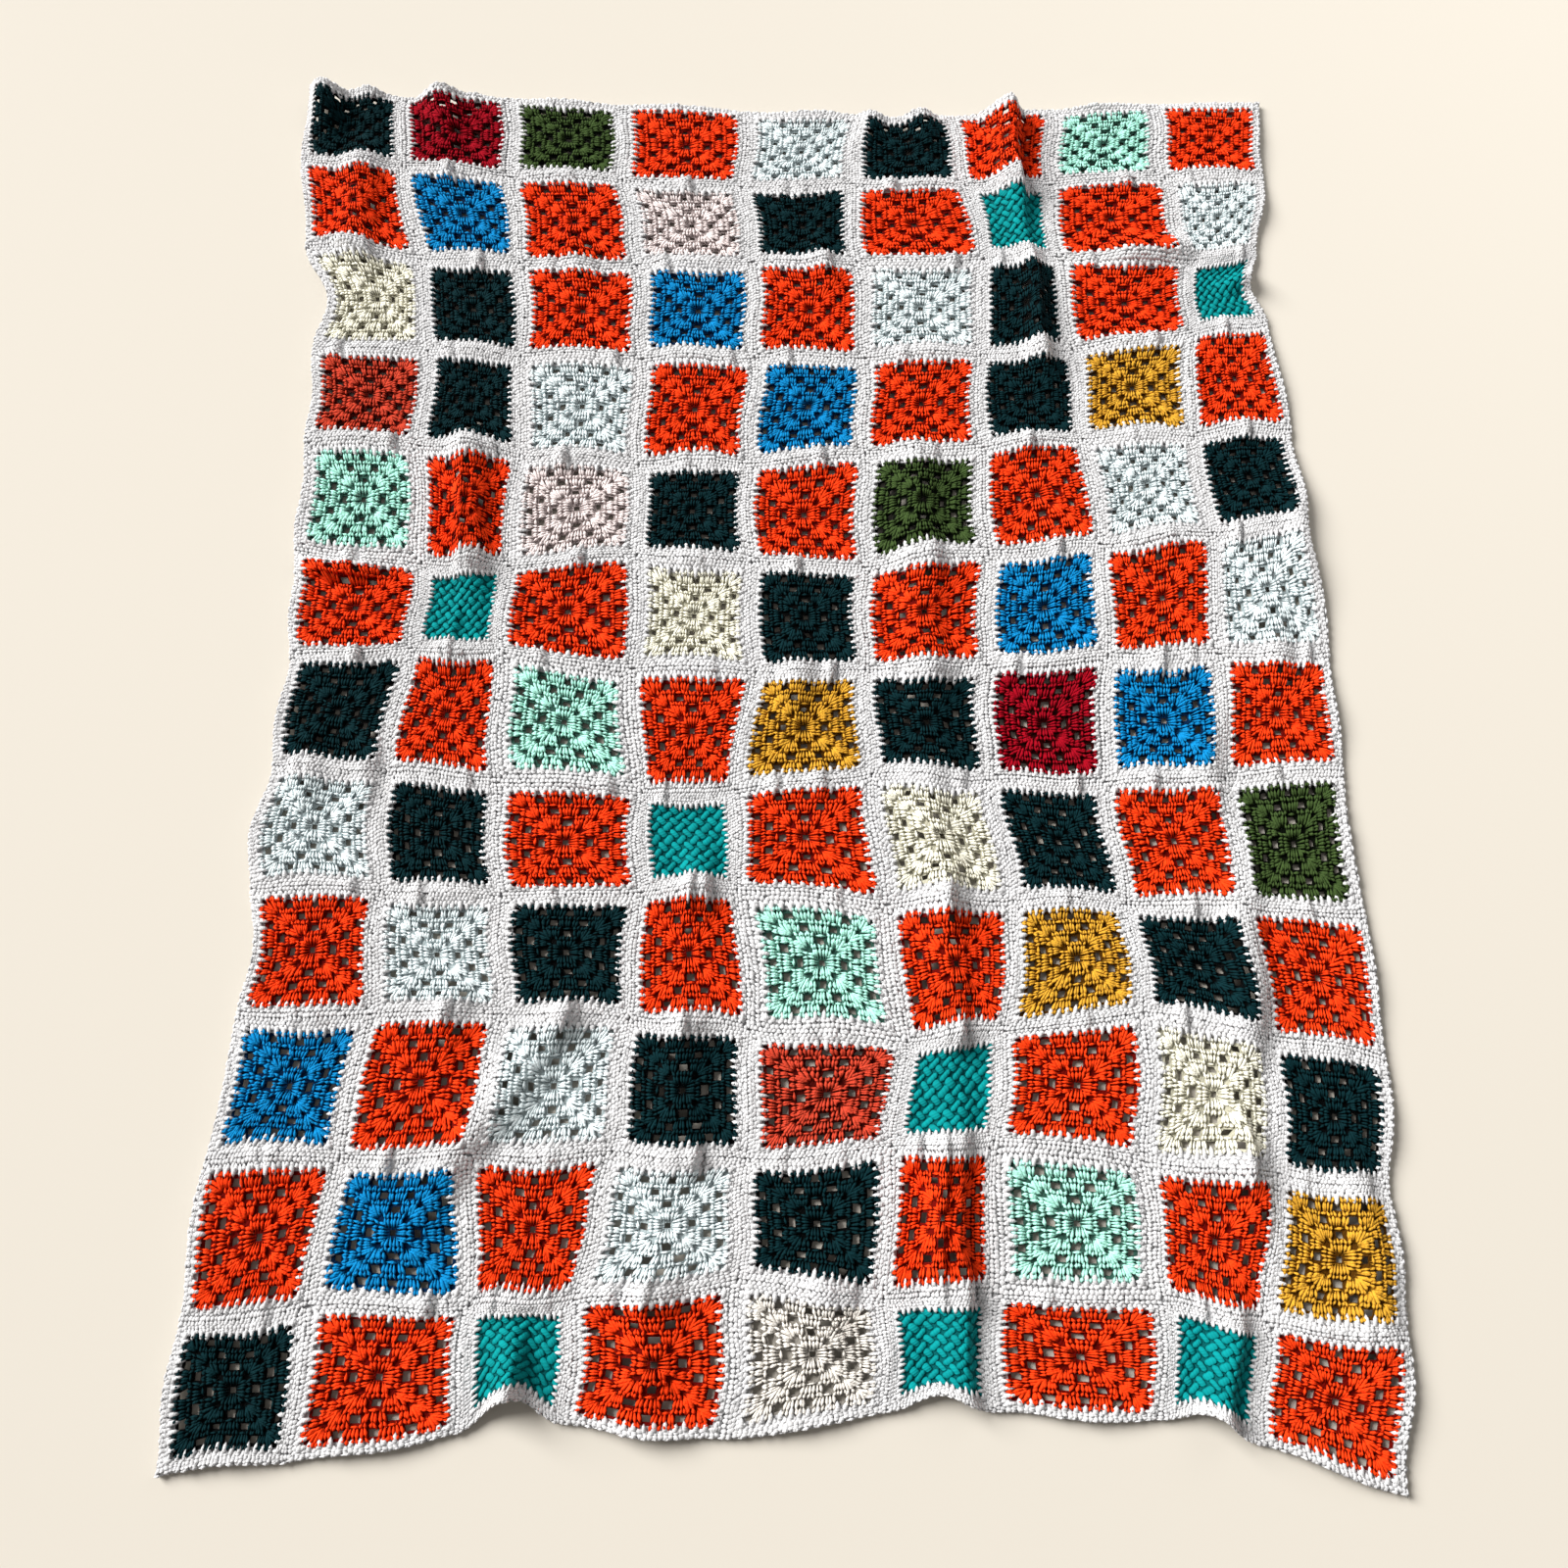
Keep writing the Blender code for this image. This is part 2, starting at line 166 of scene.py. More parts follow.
# Each fold: a soft ridge between two places, counted in squares, with its half width and height
# in millimetres. It fades to nothing at both ends, so one that runs over an edge ends past it.
# A fold that leans is wider by that share on one side and steeper on the other: on its right side
# where it runs to the near end, on its far side where it runs to the right.
Fold = namedtuple("Fold", "column row to_column to_row half_width height lean", defaults=(0,))
FOLDS = (
    Fold(6.57, -1.40, 6.58, 2.20, 34, 29, 0.38),
    Fold(6.60, 1.40, 6.67, 3.90, 34, 16),
    Fold(1.45, 3.30, 1.66, 5.80, 34, 18),
    Fold(5.38, 3.00, 5.58, 7.40, 40, 15, 0.20),
    Fold(5.50, 6.20, 5.44, 10.00, 38, 13, 0.20),
    Fold(5.55, 9.00, 5.80, 13.00, 38, 20, 0.30),
    Fold(2.70, 8.60, 1.35, 10.90, 36, 16),
    Fold(1.62, 8.50, 1.60, 9.60, 30, 10),
    Fold(3.42, 8.40, 3.52, 10.60, 34, 11),
    Fold(3.52, 10.20, 3.42, 12.20, 34, 13),
    Fold(4.60, 10.60, 4.60, 11.70, 32, 11),
    Fold(8.10, 7.30, 7.66, 9.80, 36, 18),
    Fold(7.68, 9.40, 7.85, 10.70, 34, 14),
    Fold(7.72, 10.40, 7.50, 13.20, 36, 20, 0.25),
    Fold(8.55, 9.30, 8.90, 11.60, 34, 14),
    Fold(0.30, 6.40, 0.36, 7.60, 26, 8),
    Fold(0.83, 6.50, 0.83, 7.60, 24, 8),
    Fold(0.72, 0.30, 0.36, 2.60, 36, 16),
    Fold(8.50, 5.20, 8.48, 6.50, 30, 10),
    Fold(8.95, 4.40, 8.88, 5.80, 30, 12),
    Fold(7.20, 1.95, 8.30, 1.80, 30, 14),
    Fold(4.67, 1.40, 4.66, 2.60, 30, 9),
    Fold(2.50, 1.30, 2.48, 2.50, 30, 9),
    Fold(7.86, 6.20, 7.82, 7.60, 34, 10),
    Fold(3.60, 7.30, 3.56, 8.70, 32, 10),
    Fold(4.40, 5.30, 4.36, 6.80, 32, 10),
    Fold(2.46, 10.90, 2.44, 12.90, 32, 18, 0.25),
    Fold(5.66, -0.70, 5.68, 0.70, 30, 14),
    Fold(5.12, -0.70, 5.10, 0.70, 30, 12),
    Fold(0.12, -0.90, 0.20, 0.90, 34, 26),
    Fold(0.62, -0.60, 0.66, 0.50, 24, 8),
    Fold(1.30, -0.80, 1.42, 0.90, 34, 18),
    Fold(2.50, 11.40, 2.46, 13.20, 30, 10),
    Fold(8.30, 2.46, 9.60, 2.40, 24, 12),
)
# Sharper creases on and between the folds
CREASES = (
    Fold(-0.10, 5.20, 0.82, 5.12, 20, 14, -0.4),
    Fold(5.46, 9.60, 5.52, 11.40, 20, 14, 0.55),
    Fold(1.44, 3.70, 1.50, 5.40, 16, 8, 0.5),
    Fold(1.50, 5.30, 1.42, 6.30, 14, 6, 0.4),
    Fold(7.55, 9.25, 7.86, 10.10, 14, 7, 0.4),
    Fold(2.55, 8.70, 2.44, 9.35, 14, 8, 0.4),
    Fold(0.02, 1.84, 0.60, 2.12, 14, 8, -0.4),
    Fold(3.52, 7.65, 3.50, 8.35, 13, 8, 0.4),
    Fold(5.52, 7.65, 5.48, 8.35, 13, 8, 0.4),
    Fold(6.62, 1.70, 6.66, 3.30, 15, 7, 0.5),
    Fold(3.46, 10.60, 3.42, 11.30, 13, 7, 0.4),
    Fold(4.60, 6.60, 4.62, 7.30, 13, 6, 0.4),
    Fold(7.50, 5.70, 7.46, 6.30, 13, 6, 0.4),
)
# At each end a fold takes its length divided by this to reach its full height
FOLD_FADE = 2.5

# The white bands puff up between the corners, more between rows than between columns, by a share
# that swings from square to square. All places are a little uneven besides.
PUFF = 6.0 * MM
PUFF_REACH = 0.15
PUFF_SWING = 0.6
SIDE_PUFF = 0.5
SIDE_PUFF_SWING = 0.4
UNEVEN = 1.2 * MM

# The bands between rows pucker into two short narrow ridges a square, steeper on their right, each
# with a slit on that side. Places and widths are shares of the square, and the slit's are shares
# of the ridge's half width.
PUCKER = 6.5 * MM
PUCKER_HALF_WIDTH = 0.100
PUCKER_REACH = 0.22
FIRST_PUCKER = 0.33
PUCKER_STEP = 0.32
PUCKER_STRAY = 0.12
PUCKER_STEEPER = 1.5
LEAST_PUCKER = 0.10
EDGE_PUCKER = 0.3
SLIT_ASIDE = 0.72
SLIT_HALF_WIDTH = 0.34
SLIT_DEPTH = 0.4

# The bands between rows bulge over the coloured patches, and all places are moved a little
BULGE = 0.038
BULGE_REACH = 0.32
BULGE_MEAN = 0.45
BULGE_SWING = 0.55
BULGE_SCALLOP = 0.25
WOBBLE = 0.018

# Each round of stitches in an open square: clusters on a side, and where it starts and ends
Round = namedtuple("Round", "clusters inner outer")
FIRST_ROUND = 0.030
ROUND_HEIGHT = 0.0925
ROUNDS = tuple(
    Round(n, FIRST_ROUND + (n - 1) * ROUND_HEIGHT, FIRST_ROUND + n * ROUND_HEIGHT)
    for n in (1, 2, 3, 4)
)
FULL_PATCH = 0.40

# The gaps between the clusters of an open square, as seen from its far side: how far along it
# and how far out, half width at its inner and outer side, and half depth
Gap = namedtuple("Gap", "along out inner_half outer_half depth")
GAPS = (
    Gap(0.0, 0.163, 0.031, 0.029, 0.024),
    Gap(-0.105, 0.262, 0.031, 0.029, 0.023),
    Gap(0.105, 0.262, 0.031, 0.029, 0.023),
    Gap(-0.196, 0.350, 0.031, 0.024, 0.022),
    Gap(0.0, 0.350, 0.031, 0.024, 0.022),
    Gap(0.196, 0.350, 0.031, 0.024, 0.022),
)
CENTRE_GAP = 0.030
GAP_STRETCH = (0.80, 1.20)
GAP_STRAY = 0.004
# The gaps are pulled wider toward the near edge
OPEN_FAR = 0.74
OPEN_NEAR = 1.04

# Posts of the clusters, in shares of the square: from cluster to cluster, from post to post at the
# top and at the foot, the share of a cluster's distance along the side at which its feet stand,
# how far feet lie inside the round and at least from the square's middle, and how far tops lie
# inside the round
CLUSTER_STEP = 0.196
POST_SPREAD = 0.057
FOOT_SPREAD = 0.034
FOOT_DRAW = 0.97
FOOT_INSIDE = 0.022
LEAST_FOOT = 0.018
TOP_INSIDE = 0.006
# The same for the clusters at the corners, whose three tops lie at these distances from the
# corner, and how much of their lean the loops on them take
CORNER_SPREADS = (0.147, 0.100, 0.054)
CORNER_FOOT_ASIDE = 0.030
CORNER_FOOT_STEP = 0.020
CORNER_FOOT_INSIDE = 0.018
CORNER_TOP_INSIDE = 0.010
CORNER_TOP_STEP = 0.003
CORNER_LEAN = 0.5
# How far a post's two runs of yarn lie from its middle, at the foot and at the top
RUN_AT_FOOT = 0.008
RUN_AT_TOP = 0.0125
# The slanting loops on a post's top: where they start and end, beside it and inside or outside the
# round, and how far they follow its lean
VEE_START_ASIDE = 0.005
VEE_START_INSIDE = 0.030
VEE_START_LEAN = 0.028
VEE_END_ASIDE = 0.021
VEE_END_OUTSIDE = 0.021
VEE_END_LEAN = 0.008
# The run of yarn that closes a gap on its outer side
TIE_OUTSIDE = 0.044
TIE_HALF = 0.040
TIE_SLANT = 0.002

# The runs of yarn in a closely worked square: rows, the step along a row, and how far each run
# leans and reaches, in shares of those steps
BASKET_ROWS = 11
BASKET_STEP = 0.133
BASKET_LEAN = 0.40
BASKET_REACH = 0.80

# Widths and bodies of the strands of yarn, in millimetres
STROKE_WIDTH = 3.5
STROKE_BODY = 3.0
BEAD_WIDTH = 3.4
BEAD_BODY = 2.7
TOOTH_WIDTH = 5.4
LOOP_WIDTH = 5.8
LOOP_BODY = 1.8
PLUMP_WIDTH = 9.6
PLUMP_BODY = 2.4
RIM_WIDTH = 3.6
RIM_BODY = 3.4
# Heights over the underside, in millimetres: the ground's two faces and their least distance, how
# much higher all strands lie than laid out, and the lowest place of a strand
SHEET_UNDER = 2.2
SHEET_OVER = 3.6
LEAST_SHEET = 1.0
LOFT = 2.0
LEAST_RISE = 0.05

# The white teeth and rows of loops, in shares of the square
TEETH_PER_SIDE = 15
TOOTH_BITE = (0.024, 0.052)
TOOTH_LEAN = 0.006
TEETH_PAST_PATCH = 0.010
TOOTH_END = 0.036
LOOP_LENGTH = 0.056
LOOP_STEP = 0.0315
LOOP_ROW_STEP = 0.026
LOOP_SLANT = 0.018
LOOPS_START = 0.004
LOOPS_END = 0.508
LOOPS_END_AT_SEAM = 0.512
LOOPS_END_AT_EDGE = 0.500
# The chains of loops round the throw's edge, with their heights in millimetres
RIM_LOOPS = 15
RIM_OUT = 0.491
RIM_REACH = 0.480
RIM_HALF = 0.037
RIM_RISES = (-1.6, 0.9, 2.6)
# How far a strand may reach past the sides of its row of squares
OVERHANG = 0.012

# A run of yarn from one place to another, in shares of the square, with the height of both ends,
# width, body and arch in millimetres, and the kind of its form
Strand = namedtuple("Strand", "letter x y to_x to_y rise to_rise width body arch form")

# Each form of strand: where its rings sit along it, and how wide each ring is
Form = namedtuple("Form", "places widths")
FORMS = {
    "post": Form((0.20, 0.78), (0.86, 1.0)),
    "tooth": Form((0.34, 0.90), (0.74, 1.0)),
    "stroke": Form((0.62,), (1.0,)),
    "bead": Form((0.50,), (1.0,)),
    "plump": Form((0.25, 0.75), (1.0, 1.0)),
}
# The corners of a ring, each across and over the strand's middle, and how much painted shade it takes
RingCorner = namedtuple("RingCorner", "across over shade")
# The lower corners take painted shade, as shade falls under a strand
SECTION = (
    RingCorner(-1.0, -0.45, 0.36),
    RingCorner(-0.60, 0.85, 0.0),
    RingCorner(0.60, 0.85, 0.0),
    RingCorner(1.0, -0.45, 0.36),
)
# Painted shade at a strand's two tips, most at its start, where it dips into the ground
START_PAINTED_SHADE = 0.30
END_PAINTED_SHADE = 0.10

# How much strands differ by chance: their ends in shares of the square, their heights in
# millimetres, and their width, body and arch in shares of their own
START_STRAY = 0.0035
END_STRAY = 0.0045
RISE_STRAY = 0.12
END_RISE_STRAY = 0.20
WIDTH_STRAY = 0.09
BODY_STRAY = 0.06
ARCH_STRAY = 0.15

# The ground's mesh: steps a square to choose from, the most that it may miss of a fold, how far
# inside the patch's edge its ring of places lies, and how far other places keep off that ring, in
# shares of a step, and off the gaps' middles, in shares of the square
GRID_STEPS = (6, 9, 13)
MOST_MISS = 0.7 * MM
PATCH_MARGIN = 0.006
RING_CLEARANCE = 0.3
GAP_CLEARANCE = 0.052
MERGE_WITHIN = 1e-4
# How much the numbers that turn the plies grow from one square of the ground to the next
GROUND_ALONG = 7
GROUND_AROUND = 5

# Where the chance of each row's stitches and ground starts
STITCHES_SEED = 100
GROUND_SEED = 500


def four_points(place_in_table, count):
    """Positions and weights of the four table entries round a place, for a smooth curve."""
    first = np.clip(np.floor(place_in_table).astype(int), 0, count - 2)
    f = place_in_table - first
    return (
        (first, (-f + 2 * f**2 - f**3) / 2),
        (first + 1, (2 - 5 * f**2 + 3 * f**3) / 2),
        (first + 2, (f + 4 * f**2 - 3 * f**3) / 2),
        (first + 3, (f**3 - f**2) / 2),
    )


def lay_at(table, column, row):
    """A lay table's value in metres at a place on the throw."""
    values = np.pad(np.array(table, float), 1, mode="reflect", reflect_type="odd")
    total = 0.0
    for i, row_weight in four_points(row, len(table)):
        for k, station_weight in four_points(column / STATION_STEP, len(Lay._fields)):
            total = total + row_weight * station_weight * values[i, k]
    return total * MM


def corner_shifts():
    """How far each corner where squares meet is drawn, right and far, by the squares round it."""
    shifts = np.zeros((ROWS + 1, COLUMNS + 1, 2))
    for row, letters in enumerate(CHART):
        for column, letter in enumerate(letters):
            pull = YARNS[letter].draw_in
            for down in (0, 1):
                for across in (0, 1):
                    toward_middle = (pull * (1 - 2 * across), pull * (2 * down - 1))
                    shifts[row + down, column + across] += toward_middle
    return shifts


CORNER_SHIFTS = corner_shifts()


def draw_in(column, row):
    """The corners' shifts, spread evenly over the squares between them."""
    i = np.clip(np.floor(row).astype(int), 0, ROWS - 1)
    k = np.clip(np.floor(column).astype(int), 0, COLUMNS - 1)
    down = (row - i)[..., None]
    across = (column - k)[..., None]
    far = (1 - across) * CORNER_SHIFTS[i, k] + across * CORNER_SHIFTS[i, k + 1]
    near = (1 - across) * CORNER_SHIFTS[i + 1, k] + across * CORNER_SHIFTS[i + 1, k + 1]
    return (1 - down) * far + down * near


def bowed(column, row):
    """How far the bows of the outer sides shift a place, right and far. A bow fades in one square."""
    right = np.zeros_like(column)
    far = np.zeros_like(column)
    for bow in BOWS:
        along, depth = {
            "far": (column, row),
            "near": (column, ROWS - row),
            "left": (row, column),
            "right": (row, COLUMNS - column),
        }[bow.side]
        share = np.clip(along - bow.square, 0, 1)
        reach = (1 - np.cos(2 * math.pi * share)) / 2 * np.clip(1 - depth, 0, 1)
        if bow.side in ("far", "near"):
            far += reach * bow.beyond * MM * (1 if bow.side == "far" else -1)
        else:
            right += reach * bow.beyond * MM * (1 if bow.side == "right" else -1)
    return right, far


def place(column, row):
    """Where a place on the throw lies on the floor, as x and y."""
    drawn = draw_in(column, row)
    right, far = bowed(column, row)
    x = (column - COLUMNS / 2) * PITCH + lay_at(LAY_RIGHT, column, row) + drawn[..., 0] + right
    y = (ROWS / 2 - row) * PITCH + lay_at(LAY_FAR, column, row) + drawn[..., 1] + far
    return x - MIDDLE_X, y - MIDDLE_Y


def smooth(share):
    """A share from 0 to 1, eased at both ends."""
    return share**2 * (3 - 2 * share)


def crown(share):
    """A soft ridge's height, from 1 at its crest to 0 where the share reaches 1."""
    return (1 + np.cos(math.pi * np.clip(np.abs(share), 0, 1))) / 2


def height(column, row):
    """How high the folds and their creases lift the underside."""
    total = np.zeros_like(column)
    for fold in FOLDS + CREASES:
        run_across = fold.to_column - fold.column
        run_down = fold.to_row - fold.row
        length = math.hypot(run_across, run_down)
        from_start = ((column - fold.column) * run_across + (row - fold.row) * run_down) / length**2
        aside = ((column - fold.column) * run_down - (row - fold.row) * run_across) / length
        half_width = fold.half_width * MM * (1 - fold.lean * np.sign(aside))
        fade = np.clip(FOLD_FADE * np.minimum(from_start, 1 - from_start), 0, 1)
        total += fold.height * MM * crown(aside * PITCH / half_width) * smooth(fade)
    return total


# Sines of unlike lengths, in radians a square, make the squares differ without chance


def puffs(column, row):
    """How high the white bands puff up between the corners, and a slight unevenness all over."""
    across, down = column % 1, row % 1
    near_row_seam = np.clip(1 - np.minimum(down, 1 - down) / PUFF_REACH, 0, 1)
    near_column_seam = np.clip(1 - np.minimum(across, 1 - across) / PUFF_REACH, 0, 1)
    wave = np.sin(2.1 * column + 1.3 * np.sin(1.7 * row)) * np.cos(1.9 * row + 0.8 * column)
    on_rows = np.sin(math.pi * across) ** 2 * near_row_seam * (1 + PUFF_SWING * wave)
    on_columns = np.sin(math.pi * down) ** 2 * near_column_seam * (SIDE_PUFF - SIDE_PUFF_SWING * wave)
    ripple = np.sin(9.7 * column + 4.1 * row) * np.sin(8.3 * row - 2.9 * column) * (1 + wave) / 2
    return PUFF * (on_rows + on_columns) + UNEVEN * (1 + ripple) / 2


def puckers(column, row):
    """How high the short ridges rise that cross the bands between rows, each with a slit beside it."""
    square, seam = np.floor(column), np.round(row)
    fade = np.clip(1 - np.abs(row - seam) / PUCKER_REACH, 0, 1)
    total = 0
    for turn in (0, 1):
        stray = PUCKER_STRAY * np.sin(12.9 * square + 7.8 * seam + 2.4 * turn)
        middle = FIRST_PUCKER + PUCKER_STEP * turn + stray
        aside = (column - square - middle) / PUCKER_HALF_WIDTH
        ridge = crown(np.where(aside > 0, aside * PUCKER_STEEPER, aside))
        slit = crown((aside - SLIT_ASIDE) / SLIT_HALF_WIDTH)
        chance = (0.5 + 0.5 * np.sin(4.7 * square + 9.1 * seam + 3.3 * turn)) ** 2
        strength = LEAST_PUCKER + (1 - LEAST_PUCKER) * chance
        total = total + strength * (ridge - SLIT_DEPTH * slit)
    at_edge = (seam < 0.5) | (seam > ROWS - 0.5)
    return PUCKER * total * smooth(fade) * np.where(at_edge, EDGE_PUCKER, 1)


def bulged(column, row):
    """The row a place is moved to, away from the seam where the band between rows bulges."""
    square, seam = np.floor(column), np.round(row)
    strength = BULGE_MEAN + BULGE_SWING * np.sin(3.3 * square + 5.9 * seam)
    scallop = (1 - BULGE_SCALLOP) + BULGE_SCALLOP * np.sin(11 * column + 3 * seam)
    wide = np.sin(math.pi * (column - square)) ** 2 * scallop
    away = row - seam
    swell = np.sin(math.pi * np.clip(np.abs(away) / BULGE_REACH, 0, 1)) * np.sign(away)
    return row + BULGE * strength * wide * swell


def wobbled(column, row):
    """A place moved a little in the sheet, so that no side of a square stays straight."""
    across = np.sin(6.1 * row + 1.7 * column + 2.0 * np.sin(1.3 * column - 0.7 * row))
    down = np.sin(5.3 * column - 2.3 * row + 1.6 * np.sin(0.9 * row + 1.1 * column))
    return column + WOBBLE * across, row + WOBBLE * down


def on_throw(column, row, rise, strip):
    """Points for places on the throw and heights over its underside, rows a join gap apart."""
    x, y = place(*wobbled(column, bulged(column, row)))
    if strip > 0:
        y = y - np.where(row < strip + ON_SEAM, JOIN_GAP / 2, 0)
    if strip < ROWS - 1:
        y = y + np.where(row > strip + 1 - ON_SEAM, JOIN_GAP / 2, 0)
    lift = height(column, row) + puffs(column, row) + puckers(column, row)
    z = np.maximum(lift, 0) + rise * MM
    return np.stack([x, y, z], axis=-1)


def turned(along, out, side):
    """A place in a square, given from its far side, turned to another side."""
    for _ in range(side % 4):
        along, out = out, -along
    return along, out


# Stitches of one side of a square, as seen from its far side


def pair(letter, foot, top, to_rise, form):
    """The two runs of yarn of one post, side by side."""
    length = math.hypot(top[0] - foot[0], top[1] - foot[1])
    aside = (-(top[1] - foot[1]) / length, (top[0] - foot[0]) / length)
    return [Strand(
        letter,
        x=foot[0] + RUN_AT_FOOT * hand * aside[0],
        y=foot[1] + RUN_AT_FOOT * hand * aside[1],
        to_x=top[0] + RUN_AT_TOP * hand * aside[0],
        to_y=top[1] + RUN_AT_TOP * hand * aside[1],
        rise=1.8, to_rise=to_rise, width=STROKE_WIDTH, body=STROKE_BODY, arch=0.8, form=form,
    ) for hand in (-1, 1)]


def vee(letter, top, lean, outer):
    """The two slanting loops on top of one post."""
    return [Strand(
        letter,
        x=top + VEE_START_ASIDE * hand - VEE_START_LEAN * lean,
        y=outer - VEE_START_INSIDE,
        to_x=top + VEE_END_ASIDE * hand + VEE_END_LEAN * lean,
        to_y=outer + VEE_END_OUTSIDE,
        rise=4.3, to_rise=3.3, width=BEAD_WIDTH, body=BEAD_BODY, arch=0.7, form="bead",
    ) for hand in (-1, 1)]


def cluster(letter, at, inner, outer):
    """Three posts that rise from one gap and fan out, with the loops of each stitch's top on them."""
    strands = []
    foot_y = max(inner - FOOT_INSIDE, LEAST_FOOT)
    for n in (-1, 0, 1):
        foot_x = at * FOOT_DRAW + FOOT_SPREAD * n
        top_x = at + POST_SPREAD * n
        to_rise = 3.7 if n == 0 else 3.4
        strands += pair(letter, (foot_x, foot_y), (top_x, outer - TOP_INSIDE), to_rise, "stroke")
        strands += vee(letter, top_x, (top_x - foot_x) / (outer - inner), outer)
    return strands


def corner_cluster(letter, hand, inner, outer):
    """The cluster at one end of a side, which fans toward the corner."""
    strands = []
    foot_y = inner - CORNER_FOOT_INSIDE
    for n, spread in enumerate(CORNER_SPREADS):
        foot_x = hand * (inner - CORNER_FOOT_ASIDE - CORNER_FOOT_STEP * (1 - n))
        top_x = hand * (outer - spread)
        top_y = outer - CORNER_TOP_INSIDE + CORNER_TOP_STEP * n
        form = "post" if n == 2 else "stroke"
        strands += pair(letter, (foot_x, foot_y), (top_x, top_y), 3.6, form)
        strands += vee(letter, top_x, CORNER_LEAN * (top_x - foot_x) / (outer - inner), outer)
    return strands


def open_side(letter):
    """The clusters of the four rounds on one side of an open square."""
    strands = []
    for clusters, inner, outer in ROUNDS:
        middles = clusters - 2 if clusters > 1 else 1
        for n in range(middles):
            strands += cluster(letter, (n - (middles - 1) / 2) * CLUSTER_STEP, inner, outer)
        if clusters > 1:
            strands += corner_cluster(letter, -1, inner, outer)
            strands += corner_cluster(letter, 1, inner, outer)
    for gap in GAPS:
        if gap.out < ROUNDS[-1].inner:
            strands.append(Strand(
                letter,
                x=gap.along - TIE_HALF,
                y=gap.out + TIE_OUTSIDE - TIE_SLANT,
                to_x=gap.along + TIE_HALF,
                to_y=gap.out + TIE_OUTSIDE + TIE_SLANT,
                rise=3.0, to_rise=3.0, width=BEAD_WIDTH, body=BEAD_BODY, arch=0.4, form="bead",
            ))
    return strands


def basket(letter):
    """A closely worked square: short plump runs of yarn that slant to and fro, row by row."""
    strands = []
    row_step = 2 * FULL_PATCH / BASKET_ROWS
    half_run = BASKET_REACH * row_step
    half_count = math.ceil(FULL_PATCH / BASKET_STEP)
    for k in range(BASKET_ROWS):
        y = (k + 0.5) * row_step - FULL_PATCH
        lean = BASKET_LEAN * BASKET_STEP * (1 if k % 2 else -1)
        for i in range(-half_count, half_count):
            x = (i + 0.5 * (k % 2)) * BASKET_STEP
            if abs(x) < FULL_PATCH:
                strands.append(Strand(
                    letter, x=x - lean, y=y - half_run, to_x=x + lean, to_y=y + half_run,
                    rise=1.8, to_rise=1.8, width=PLUMP_WIDTH, body=PLUMP_BODY, arch=1.1, form="plump",
                ))
    return strands


def white_teeth(patch, rng):
    """The white posts of one side, which bite over the edge of the coloured patch."""
    strands = []
    for n in range(TEETH_PER_SIDE):
        at = (2 * n / (TEETH_PER_SIDE - 1) - 1) * (patch + TEETH_PAST_PATCH)
        bite = rng.uniform(*TOOTH_BITE)
        lean = rng.normal(0, TOOTH_LEAN)
        strands.append(Strand(
            "W", x=at + lean, y=patch - bite, to_x=at, to_y=patch + TOOTH_END,
            rise=3.4, to_rise=3.6, width=TOOTH_WIDTH, body=STROKE_BODY, arch=1.0, form="tooth",
        ))
    return strands


def white_loops(patch, outer_edge):
    """The rows of white loops on one side, from the coloured patch to the seam or the edge."""
    strands = []
    first = patch + LOOPS_START
    rows = max(2, round((LOOPS_END - first - LOOP_LENGTH) / LOOP_ROW_STEP) + 1)
    end = LOOPS_END_AT_EDGE if outer_edge else LOOPS_END_AT_SEAM
    step = (end - first - LOOP_LENGTH) / (rows - 1)
    for k in range(rows):
        out = first + k * step
        reach = out + 0.5 * LOOP_LENGTH
        count = round(2 * reach / LOOP_STEP)
        slant = LOOP_SLANT * (1 if k % 2 else -1)
        for n in range(count):
            at = (2 * (n + 0.5 * (k % 2)) / count - 1) * reach + 0.25 * LOOP_STEP
            strands.append(Strand(
                "W", x=at - slant / 2, y=out, to_x=at + slant / 2, to_y=out + LOOP_LENGTH,
                rise=3.1, to_rise=3.7, width=LOOP_WIDTH, body=LOOP_BODY, arch=0.5, form="bead",
            ))
    return strands


def rim_chains():
    """The chains of loops on one side of the throw's edge, one over the other."""
    strands = []
    for n in range(RIM_LOOPS):
        at = (2 * n / (RIM_LOOPS - 1) - 1) * RIM_REACH
        for rise in RIM_RISES:
            strands.append(Strand(
                "W", x=at - RIM_HALF, y=RIM_OUT, to_x=at + RIM_HALF, to_y=RIM_OUT,
                rise=rise, to_rise=rise, width=RIM_WIDTH, body=RIM_BODY, arch=0.5, form="bead",
            ))
    return strands


def scaled(strand, scale):
    """A strand laid out for a full patch, moved to where it lies in a smaller or larger one."""
    return strand._replace(
        x=strand.x * scale, y=strand.y * scale, to_x=strand.to_x * scale, to_y=strand.to_y * scale
    )


def moved(strand, side, column, strip):
    """A strand of a square's far side, turned to another side and moved to its square."""
    x, y = turned(strand.x, strand.y, side)
    to_x, to_y = turned(strand.to_x, strand.to_y, side)
    return strand._replace(
        x=column + 0.5 + x, y=strip + 0.5 - y, to_x=column + 0.5 + to_x, to_y=strip + 0.5 - to_y
    )


def square_strands(column, strip, rng):
    """All the strands of one square, in columns and rows."""
    letter = CHART[strip][column]
    yarn = YARNS[letter]
    edges = (strip == 0, column == COLUMNS - 1, strip == ROWS - 1, column == 0)
    strands = []
    for side in range(4):
        coloured = open_side(letter) if yarn.openwork else []
        if side == 0 and not yarn.openwork:
            coloured = basket(letter)
        laid = [scaled(strand, yarn.patch / FULL_PATCH) for strand in coloured]
        laid += white_teeth(yarn.patch, rng)
        laid += white_loops(yarn.patch, edges[side])
        if edges[side]:
            laid += rim_chains()
        strands += [moved(strand, side, column, strip) for strand in laid]
    return strands


